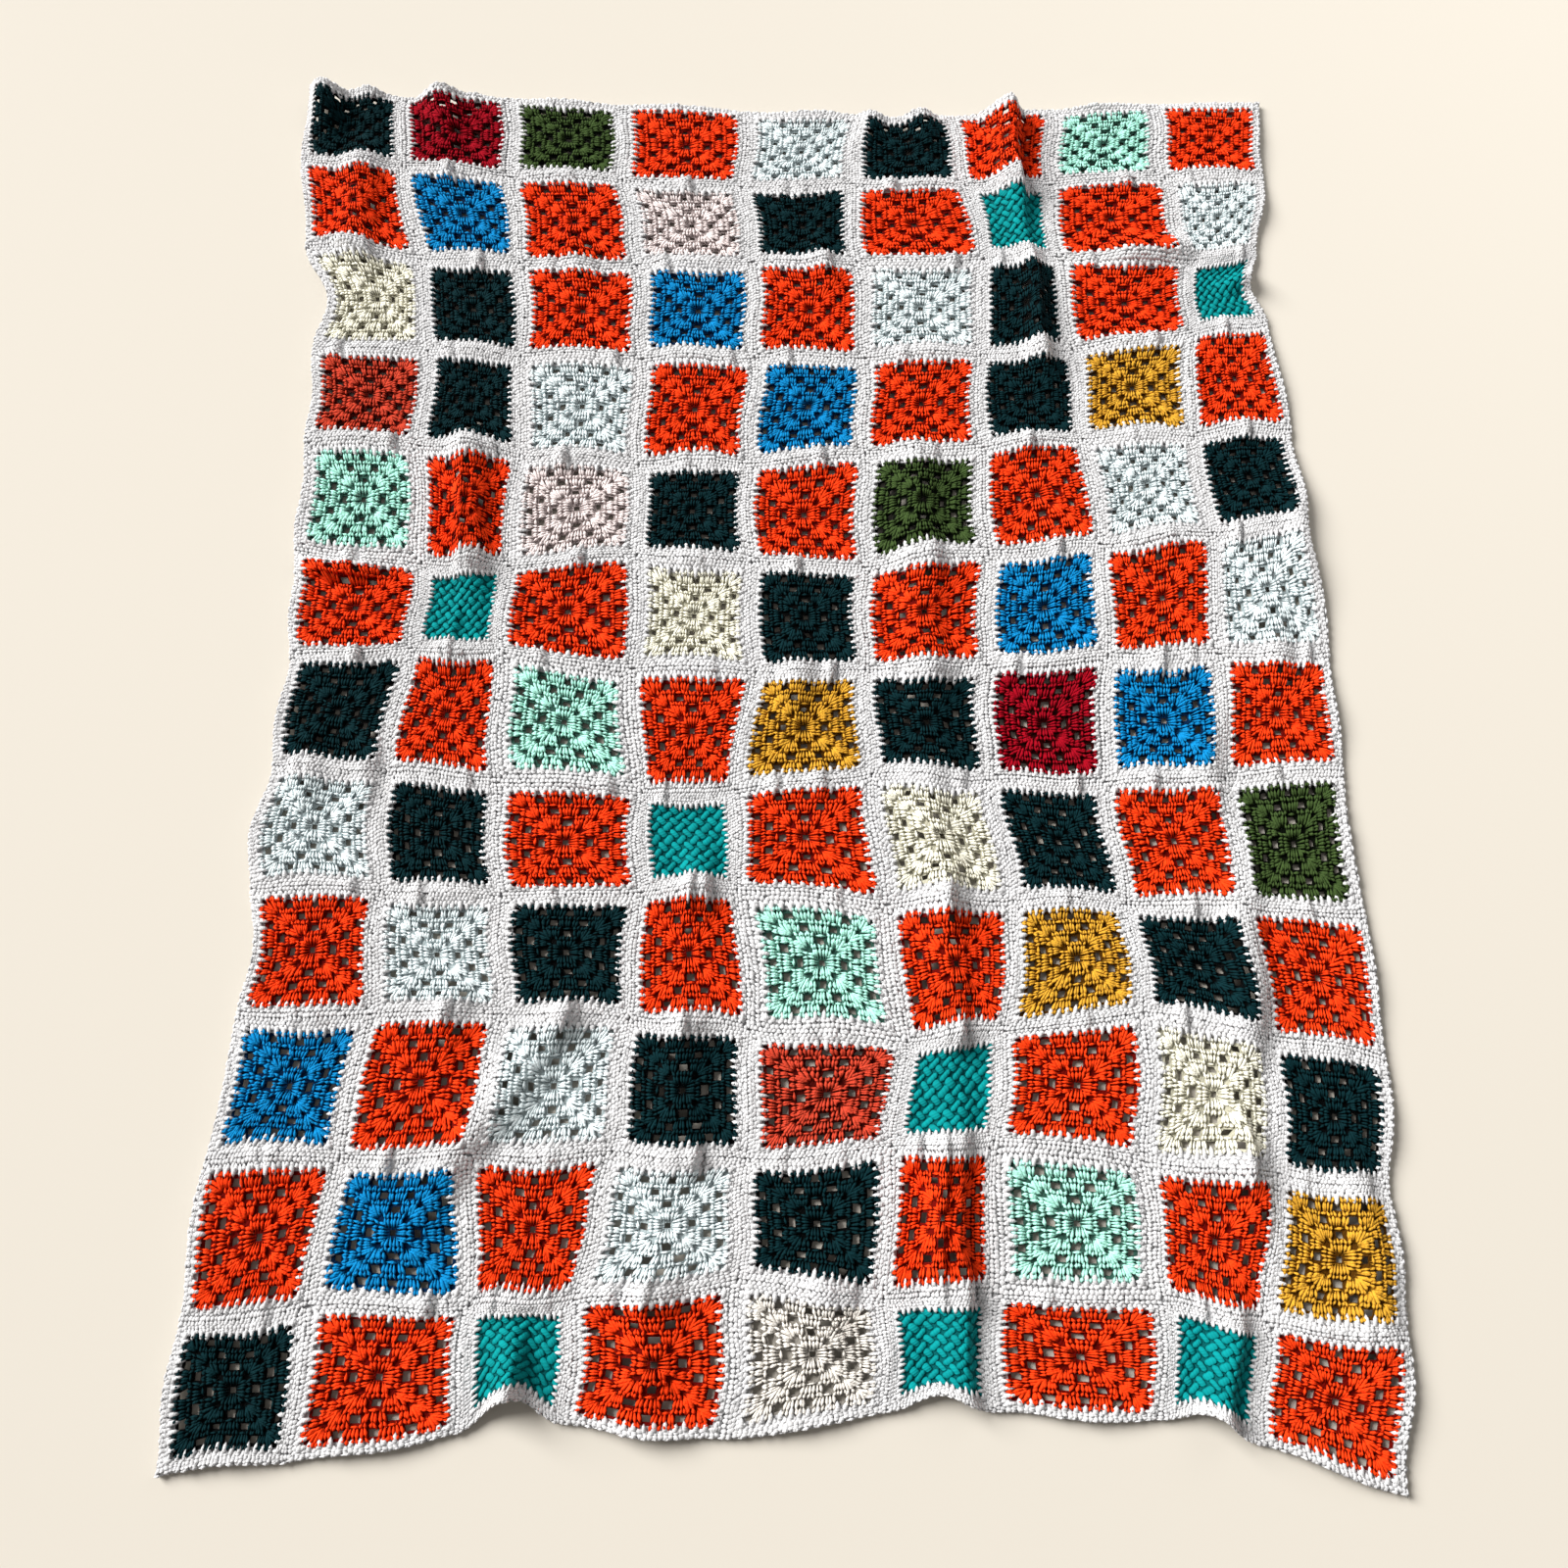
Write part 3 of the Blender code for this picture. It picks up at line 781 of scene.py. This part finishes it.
def strand_mesh(strands, form, strip, rng):
    """Points, faces and values of all the strands of one form, as tapered tubes of four sides."""
    places, widths = FORMS[form]
    count = len(strands)
    start = np.array([(s.x, s.y) for s in strands])
    end = np.array([(s.to_x, s.to_y) for s in strands])
    start += rng.normal(0, START_STRAY, start.shape)
    end += rng.normal(0, END_STRAY, end.shape)
    rise = LOFT + np.array([s.rise for s in strands]) + rng.normal(0, RISE_STRAY, count)
    to_rise = LOFT + np.array([s.to_rise for s in strands]) + rng.normal(0, END_RISE_STRAY, count)
    width = np.array([s.width for s in strands]) * rng.normal(1, WIDTH_STRAY, count)
    body = np.array([s.body for s in strands]) * rng.normal(1, BODY_STRAY, count)
    arch = np.array([s.arch for s in strands]) * rng.normal(1, ARCH_STRAY, count)
    run = end - start
    run /= np.linalg.norm(run, axis=1)[:, None]
    aside = np.stack([-run[:, 1], run[:, 0]], axis=1) * (width * MM / PITCH / 2)[:, None]
    flat = [start]
    up = [rise]
    # Painted shade for each point, mixed into the yarn's colour: darker at the tips and lower corners
    deep = [START_PAINTED_SHADE]
    along = [0]
    around = [0]
    for share, wide in zip(places, widths):
        middle = start + (end - start) * share
        lift = rise + (to_rise - rise) * share + arch * 4 * share * (1 - share)
        for n, corner in enumerate(SECTION):
            flat.append(middle + aside * corner.across * wide)
            up.append(lift + body / 2 * corner.over * wide)
            deep.append(corner.shade)
            along.append(share)
            around.append(n / len(SECTION))
    flat.append(end)
    up.append(to_rise)
    deep.append(END_PAINTED_SHADE)
    along.append(1)
    around.append(0)
    per_strand = len(flat)
    flat = np.stack(flat, axis=1).reshape(-1, 2)
    up = np.maximum(np.stack(up, axis=1).reshape(-1), LEAST_RISE)
    column = np.clip(flat[:, 0], -OVERHANG, COLUMNS + OVERHANG)
    row = np.clip(flat[:, 1], strip - OVERHANG, strip + 1 + OVERHANG)
    ring = len(SECTION)
    last_ring = per_strand - 1 - ring
    neighbours = [(n, (n + 1) % ring) for n in range(ring)]
    caps = []
    for n, beside in neighbours:
        caps.append((0, 1 + n, 1 + beside))
        caps.append((per_strand - 1, last_ring + beside, last_ring + n))
    sides = []
    for low in range(1, last_ring, ring):
        for n, beside in neighbours:
            sides.append((low + n, low + ring + n, low + ring + beside, low + beside))
    firsts = np.arange(count)[:, None, None] * per_strand
    letters = np.array([LETTERS.index(s.letter) for s in strands])
    return dict(
        points=on_throw(column, row, up, strip),
        triangles=(np.array(caps)[None] + firsts).reshape(-1, 3),
        squares=(np.array(sides, int).reshape(-1, 4)[None] + firsts).reshape(-1, 4),
        triangle_yarns=np.repeat(letters, len(caps)),
        square_yarns=np.repeat(letters, len(sides)),
        # deep is the painted shade of each point
        deep=np.tile(deep, count),
        tone=np.repeat(rng.normal(0, 1, count), per_strand),
        along=np.tile(along, count),
        around=np.tile(around, count),
    )


def add_value(mesh, name, values):
    """Stores one number for each point of a mesh."""
    layer = mesh.attributes.new(name, "FLOAT", "POINT")
    layer.data.foreach_set("value", values.astype(np.float32))


def add_object(mesh, materials):
    """Puts a mesh in the scene, with a slot for every yarn."""
    for letter in LETTERS:
        mesh.materials.append(materials[letter])
    obj = bpy.data.objects.new(mesh.name, mesh)
    bpy.context.scene.collection.objects.link(obj)
    return obj


def build_stitches(strip, materials):
    """The strands of one row of squares as one mesh."""
    rng = np.random.default_rng(STITCHES_SEED + strip)
    strands = []
    for column in range(COLUMNS):
        strands += square_strands(column, strip, rng)
    parts = []
    for form in FORMS:
        chosen = [s for s in strands if s.form == form]
        if chosen:
            parts.append(strand_mesh(chosen, form, strip, rng))
    firsts = np.cumsum([0] + [len(part["points"]) for part in parts])
    points = np.concatenate([part["points"] for part in parts])
    triangles = np.concatenate([part["triangles"] + first for part, first in zip(parts, firsts)])
    squares = np.concatenate([part["squares"] + first for part, first in zip(parts, firsts)])
    yarns = np.concatenate(
        [part["triangle_yarns"] for part in parts] + [part["square_yarns"] for part in parts]
    )
    mesh = bpy.data.meshes.new(f"stitches_row_{strip + 1:02d}")
    mesh.from_pydata(points.tolist(), [], triangles.tolist() + squares.tolist())
    obj = add_object(mesh, materials)
    mesh.polygons.foreach_set("material_index", yarns.astype(np.int32))
    # deep holds painted shade, which the yarn material mixes into the colour
    for name in ("deep", "tone", "along", "around"):
        add_value(mesh, name, np.concatenate([part[name] for part in parts]))
    mesh.shade_smooth()
    return obj


def gap_outlines(column, strip, rng):
    """The places round each gap of a square."""
    yarn = YARNS[CHART[strip][column]]
    if not yarn.openwork:
        return []
    scale = yarn.patch / FULL_PATCH
    open_share = OPEN_FAR + (OPEN_NEAR - OPEN_FAR) * strip / (ROWS - 1)

    def in_square(x, y):
        return column + 0.5 + x * scale, strip + 0.5 - y * scale

    outlines = []
    for side in range(4):
        for gap in GAPS:
            wide, deep = open_share * rng.uniform(*GAP_STRETCH, 2)
            shift, lean = rng.normal(0, GAP_STRAY, 2)
            outline = []
            for hand, end in ((-1, -1), (1, -1), (1, 1), (-1, 1)):
                half = gap.inner_half if end < 0 else gap.outer_half
                at = gap.along + hand * half * wide + shift + lean * end
                outline.append(in_square(*turned(at, gap.out + end * gap.depth * deep, side)))
            outlines.append(outline)
    centre = []
    for n in range(4):
        angle = math.pi * (0.25 + 0.5 * n)
        centre.append(in_square(CENTRE_GAP * math.cos(angle), CENTRE_GAP * math.sin(angle)))
    outlines.append(centre)
    return outlines


def grid_steps(column, strip):
    """How many steps a square needs each way, so that its sheet follows the folds."""
    for steps in GRID_STEPS:
        middles = (np.arange(steps) + 0.5) / steps
        c, r = np.meshgrid(column + middles, strip + middles)
        half = 0.5 / steps
        corners = sum(
            height(np.clip(c + a * half, 0, COLUMNS), np.clip(r + b * half, 0, ROWS))
            for a in (-1, 1) for b in (-1, 1)
        ) / 4
        if np.abs(height(c, r) - corners).max() < MOST_MISS:
            break
    return steps


def sheet_layout(strip, rng):
    """Places and triangles of one row's sheet in its flat layout, with every gap left open."""
    places = []
    edges = []
    gap_faces = []

    def chain(points, closed):
        first = len(places)
        places.extend(points)
        numbers = list(range(first, first + len(points)))
        ends = numbers[1:] + numbers[:1] if closed else numbers[1:]
        edges.extend(zip(numbers, ends))
        return numbers

    steps = [grid_steps(column, strip) for column in range(COLUMNS)]
    for row in (strip, strip + 1):
        line = [(c + n / steps[c], row) for c in range(COLUMNS) for n in range(steps[c])]
        chain(line + [(COLUMNS, row)], False)
    for side in (0, COLUMNS):
        count = steps[min(side, COLUMNS - 1)]
        chain([(side, strip + n / count) for n in range(count + 1)], False)
    for column in range(COLUMNS):
        half = YARNS[CHART[strip][column]].patch - PATCH_MARGIN
        count = steps[column]
        ring = []
        for side in range(4):
            for n in range(count):
                x, y = turned(half * (2 * n / count - 1), half, side)
                ring.append((column + 0.5 + x, strip + 0.5 - y))
        chain(ring, True)
        outlines = gap_outlines(column, strip, rng)
        for outline in outlines:
            gap_faces.append(chain(outline, True))
        middles = np.array([np.mean(outline, axis=0) for outline in outlines]).reshape(-1, 2)
        for i in range(1, count):
            for k in range(0 if column else 1, count):
                across, down = k / count - 0.5, i / count - 0.5
                if abs(max(abs(across), abs(down)) - half) < RING_CLEARANCE / count:
                    continue
                point = np.array([column + 0.5 + across, strip + 0.5 + down])
                if len(middles) and np.linalg.norm(middles - point, axis=1).min() < GAP_CLEARANCE:
                    continue
                places.append(tuple(point))
    flat = [Vector((x, -y)) for x, y in places]
    corners, _, faces, _, _, sources = delaunay_2d_cdt(flat, edges, gap_faces, 0, MERGE_WITHIN)
    kept = [tuple(face) for face, source in zip(faces, sources) if not source]
    return np.array([(v.x, -v.y) for v in corners]), kept


def yarn_at(x, y, strip):
    """The letter of the ground's yarn at a place: the square's own in its patch, else white."""
    column = min(int(x), COLUMNS - 1)
    letter = CHART[strip][column]
    out = max(abs(x - column - 0.5), abs(y - strip - 0.5))
    return letter if out < YARNS[letter].patch - PATCH_MARGIN else "W"


def build_sheet(strip, materials):
    """The thin ground of one row of squares, with its gaps, as a closed sheet."""
    rng = np.random.default_rng(GROUND_SEED + strip)
    corners, faces = sheet_layout(strip, rng)
    directed = {(face[n], face[(n + 1) % 3]) for face in faces for n in range(3)}
    walls = [(a, b) for a, b in sorted(directed) if (b, a) not in directed]
    count = len(corners)
    column, row = corners[:, 0], corners[:, 1]
    over = on_throw(column, row, np.full(count, SHEET_OVER), strip)
    under = on_throw(column, row, np.full(count, SHEET_UNDER), strip)
    under[:, 2] = np.minimum(under[:, 2], over[:, 2] - LEAST_SHEET * MM)
    bottoms = [tuple(n + count for n in reversed(face)) for face in faces]
    sides = [(a + count, b + count, b, a) for a, b in walls]
    mesh = bpy.data.meshes.new(f"ground_row_{strip + 1:02d}")
    mesh.from_pydata(np.concatenate([over, under]).tolist(), [], faces + bottoms + sides)
    obj = add_object(mesh, materials)
    middles = [corners[list(face)].mean(axis=0) for face in faces]
    middles = middles + middles + [corners[[a, b]].mean(axis=0) for a, b in walls]
    for polygon, (x, y) in zip(mesh.polygons, middles):
        polygon.material_index = LETTERS.index(yarn_at(x, y, strip))
    # Every point of the ground, over, under and in its walls, takes its yarn's full painted shade, as
    # the ground lies in shade below the strands
    add_value(mesh, "deep", np.ones(2 * count))
    add_value(mesh, "tone", np.zeros(2 * count))
    add_value(mesh, "along", np.tile(column * GROUND_ALONG + row * GROUND_ALONG, 2))
    add_value(mesh, "around", np.tile(column * GROUND_AROUND - row * GROUND_AROUND, 2))
    return obj


# Yarn material

# Scale of the fibres, turns of the plies along and round a strand, how much lighter and darker the
# strands and fibres make the yarn, the plies' painted shade, and its roughness, relief and gloss
FIBRES = 900
FIBRE_DETAIL = 2
TURNS_ALONG = 5.0
TURNS_AROUND = 2.0
TONE_SHADE = 0.07
FIBRE_SHADE = 0.30
PLY_PAINTED_SHADE = 0.05
LEAST_ROUGHNESS = 0.75
FIBRE_ROUGHNESS = 0.2
PLY_RELIEF = 0.5
RELIEF = 0.35 * MM
RELIEF_STRENGTH = 0.5
YARN_GLOSS = 0.08


def linear(colour):
    """A colour as seen on a screen, in the renderer's linear light."""
    return [c / 12.92 if c <= 0.04045 else ((c + 0.055) / 1.055) ** 2.4 for c in colour]


def math_node(tree, operation, first, second):
    """A Math node whose inputs are sockets or numbers."""
    node = tree.nodes.new("ShaderNodeMath")
    node.operation = operation
    for socket, value in zip(node.inputs, (first, second)):
        if isinstance(value, (int, float)):
            socket.default_value = value
        else:
            tree.links.new(value, socket)
    return node.outputs[0]


def attribute(tree, name):
    """The socket that gives a stored number."""
    node = tree.nodes.new("ShaderNodeAttribute")
    node.attribute_name = name
    return node.outputs["Fac"]


def yarn_material(name, colour, painted_shade_share):
    """Plied wool: each strand a little lighter or darker, its plies turning, with painted shade in
    their grooves and the hollows.
    """
    material = bpy.data.materials.new(name)
    material.use_nodes = True
    tree = material.node_tree
    shader = tree.nodes["Principled BSDF"]
    shader.inputs["Metallic"].default_value = 0
    shader.inputs["Specular IOR Level"].default_value = YARN_GLOSS
    coordinates = tree.nodes.new("ShaderNodeTexCoord").outputs["Object"]

    fibres = tree.nodes.new("ShaderNodeTexNoise")
    fibres.inputs["Scale"].default_value = FIBRES
    fibres.inputs["Detail"].default_value = FIBRE_DETAIL
    tree.links.new(coordinates, fibres.inputs["Vector"])
    fibre = fibres.outputs["Fac"]

    turns_along = math_node(tree, "MULTIPLY", attribute(tree, "along"), TURNS_ALONG)
    turns_around = math_node(tree, "MULTIPLY", attribute(tree, "around"), TURNS_AROUND)
    turns = math_node(tree, "ADD", turns_along, turns_around)
    plies = math_node(tree, "SINE", math_node(tree, "MULTIPLY", turns, 2 * math.pi), 0.0)

    tone = math_node(tree, "MULTIPLY", attribute(tree, "tone"), TONE_SHADE)
    mottle = math_node(tree, "MULTIPLY", math_node(tree, "SUBTRACT", fibre, 0.5), FIBRE_SHADE)
    # Painted shade along the plies: darker in their grooves, lighter on their crowns
    painted_ply_shade = math_node(tree, "MULTIPLY", plies, PLY_PAINTED_SHADE)
    # shade sums the random tone and fibre mottle with the plies' painted shade
    shade = math_node(tree, "ADD", tone, mottle)
    shade = math_node(tree, "ADD", shade, math_node(tree, "ADD", painted_ply_shade, 1.0))

    # Painted shade: the colour is mixed toward a darker, richer copy of itself where the value deep
    # marks a point as lying in shade
    depth = tree.nodes.new("ShaderNodeMix")
    depth.data_type = "RGBA"
    shown = linear(colour)
    depth.inputs["A"].default_value = (*shown, 1)
    depth.inputs["B"].default_value = (*[c ** 1.5 * painted_shade_share for c in shown], 1)
    tree.links.new(attribute(tree, "deep"), depth.inputs["Factor"])
    shaded = tree.nodes.new("ShaderNodeVectorMath")
    shaded.operation = "SCALE"
    tree.links.new(depth.outputs["Result"], shaded.inputs[0])
    tree.links.new(shade, shaded.inputs["Scale"])
    tree.links.new(shaded.outputs[0], shader.inputs["Base Color"])

    roughness = math_node(tree, "MULTIPLY", fibre, FIBRE_ROUGHNESS)
    roughness = math_node(tree, "ADD", roughness, LEAST_ROUGHNESS)
    tree.links.new(roughness, shader.inputs["Roughness"])
    relief = math_node(tree, "ADD", math_node(tree, "MULTIPLY", plies, PLY_RELIEF), fibre)
    bump = tree.nodes.new("ShaderNodeBump")
    bump.inputs["Strength"].default_value = RELIEF_STRENGTH
    bump.inputs["Distance"].default_value = RELIEF
    tree.links.new(relief, bump.inputs["Height"])
    tree.links.new(bump.outputs["Normal"], shader.inputs["Normal"])
    return material


# Stage

FLOOR_COLOUR = (0.86, 0.835, 0.79)
FLOOR_ROUGHNESS = 0.8
FLOOR_REACH = 6
FLOOR_DROP = 0.5 * MM

# The window light's height over the floor and its turn from the right edge, in degrees
SUN_HEIGHT = 33
SUN_TURN = 148
SUN_SOFTNESS = 34
SUN_STRENGTH = 5.8
SUN_COLOUR = (1.0, 0.985, 0.96)
FILL_PLACE = (1.5, 1.5, 1.6)
FILL_SIZE = 1.6
FILL_POWER = 9
AMBIENT = 0.20
AMBIENT_COLOUR = (1.0, 0.96, 0.92)


def build_camera():
    """The camera as it was held over the near end of the throw."""
    data = bpy.data.cameras.new("camera")
    data.lens = CAMERA_LENS
    data.sensor_width = CAMERA_SENSOR
    camera = bpy.data.objects.new("camera", data)
    bpy.context.scene.collection.objects.link(camera)
    turn = Matrix.Rotation(math.radians(CAMERA_YAW), 4, "Z")
    turn = turn @ Matrix.Rotation(math.radians(CAMERA_TILT), 4, "X")
    turn = turn @ Matrix.Rotation(math.radians(CAMERA_ROLL), 4, "Z")
    camera.matrix_world = Matrix.Translation(CAMERA_PLACE) @ turn
    bpy.context.scene.camera = camera


def build_floor():
    """A plain pale floor, matt and even."""
    material = bpy.data.materials.new("floor_pale")
    material.use_nodes = True
    shader = material.node_tree.nodes["Principled BSDF"]
    shader.inputs["Base Color"].default_value = (*linear(FLOOR_COLOUR), 1)
    shader.inputs["Roughness"].default_value = FLOOR_ROUGHNESS
    mesh = bpy.data.meshes.new("floor")
    corners = ((-1, -1), (1, -1), (1, 1), (-1, 1))
    mesh.from_pydata([(a * FLOOR_REACH, b * FLOOR_REACH, 0) for a, b in corners], [], [(0, 1, 2, 3)])
    mesh.materials.append(material)
    floor = bpy.data.objects.new("floor", mesh)
    floor.location.z = -FLOOR_DROP
    bpy.context.scene.collection.objects.link(floor)


def add_lamp(light, direction):
    """Puts a light in the scene, turned so that it shines from a direction."""
    lamp = bpy.data.objects.new(light.name, light)
    lamp.rotation_euler = (-direction).to_track_quat("-Z", "Y").to_euler()
    bpy.context.scene.collection.objects.link(lamp)
    return lamp


def build_lights():
    """Soft low light from the far left, as from a window, and a weak one from the far right."""
    sun = bpy.data.lights.new("window", "SUN")
    sun.energy = SUN_STRENGTH
    sun.angle = math.radians(SUN_SOFTNESS)
    sun.color = SUN_COLOUR
    up, turn = math.radians(SUN_HEIGHT), math.radians(SUN_TURN)
    level = math.cos(up)
    add_lamp(sun, Vector((level * math.cos(turn), level * math.sin(turn), math.sin(up))))
    fill = bpy.data.lights.new("side", "AREA")
    fill.size = FILL_SIZE
    fill.energy = FILL_POWER
    lamp = add_lamp(fill, Vector(FILL_PLACE))
    lamp.location = FILL_PLACE
    world = bpy.data.worlds.new("studio")
    world.use_nodes = True
    background = world.node_tree.nodes["Background"]
    background.inputs["Color"].default_value = (*AMBIENT_COLOUR, 1)
    background.inputs["Strength"].default_value = AMBIENT
    bpy.context.scene.world = world
    bpy.context.scene.view_settings.view_transform = "Standard"


def main():
    materials = {
        letter: yarn_material(f"yarn_{yarn.name}", yarn.colour, yarn.depths)
        for letter, yarn in YARNS.items()
    }
    build_camera()
    build_floor()
    build_lights()
    for strip in range(ROWS):
        ground = build_sheet(strip, materials)
        stitches = build_stitches(strip, materials)
        node = f"squares_row_{strip + 1:02d}"
        for piece in (ground, stitches):
            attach(piece, "root")
            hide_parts(node)


main()
